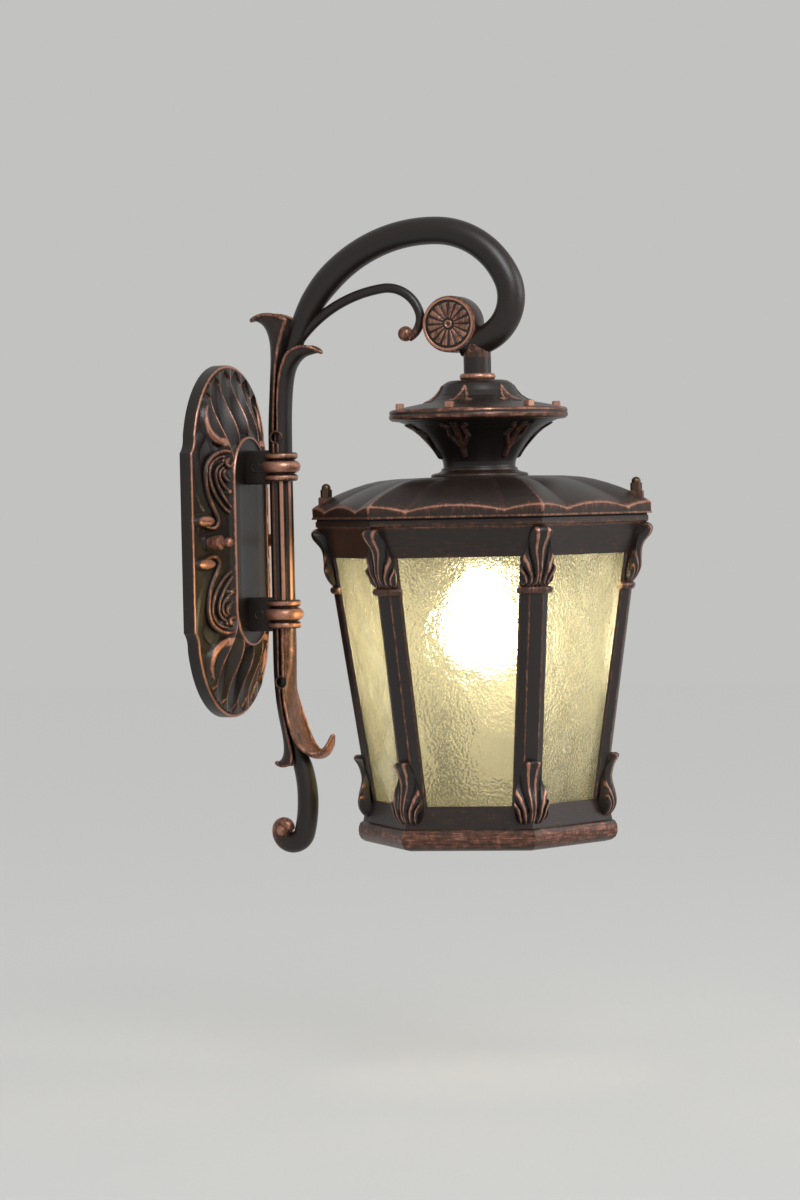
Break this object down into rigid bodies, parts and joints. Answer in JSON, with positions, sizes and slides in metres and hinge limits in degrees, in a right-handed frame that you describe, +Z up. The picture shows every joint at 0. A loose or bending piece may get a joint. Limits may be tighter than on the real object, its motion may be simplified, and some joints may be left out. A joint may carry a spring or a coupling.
{
  "type": "outdoor wall light",
  "caption": "Cast lantern with hammered glass, hung from an arched scroll arm on a carved oval wall plate, for lighting an outside wall.",
  "frame": {"origin": "on the wall plane, at the middle of the wall plate and of the two wall holes", "axes": "+Z up, +Y into the wall, +X to the right of someone who faces the wall; the lantern stands out to -Y"},
  "size_m": [0.2574, 0.3542, 0.4983],
  "materials": {
    "casting": "black-brown paint on cast aluminium, rubbed to copper on raised edges",
    "copper_rub": "black-brown paint largely rubbed to copper",
    "steel": "zinc plated",
    "brass": "dull",
    "plastic": "moulded",
    "porcelain": "glazed",
    "seal": "matt",
    "hammered_glass": "hammered, amber",
    "bulb_glass": "frosted"
  },
  "bodies": {
    "root": {"wall_plate": "casting", "mounting_strap": "steel", "strap_studs": "steel", "plate_knobs": "copper_rub", "terminal_block": "plastic", "arm_bolts": "steel", "arm_post": "casting", "arm_arch": "casting", "rosette_left": "copper_rub", "rosette_right": "copper_rub", "drop_pipe": "casting", "pipe_ring": "copper_rub", "crown_cap": "casting", "crown_vase": "casting", "hanger_rod": "steel", "rod_nuts": "steel", "roof": "casting", "roof_gasket": "seal", "roof_studs": "steel", "cap_nuts": "brass", "lantern_cage": "casting", "glass_pane_1": "hammered_glass", "glass_pane_2": "hammered_glass", "glass_pane_3": "hammered_glass", "glass_pane_4": "hammered_glass", "glass_pane_5": "hammered_glass", "glass_pane_6": "hammered_glass", "bottom_glass": "hammered_glass", "lamp_holder": "porcelain", "bulb": "bulb_glass"}
  },
  "joints": []
}
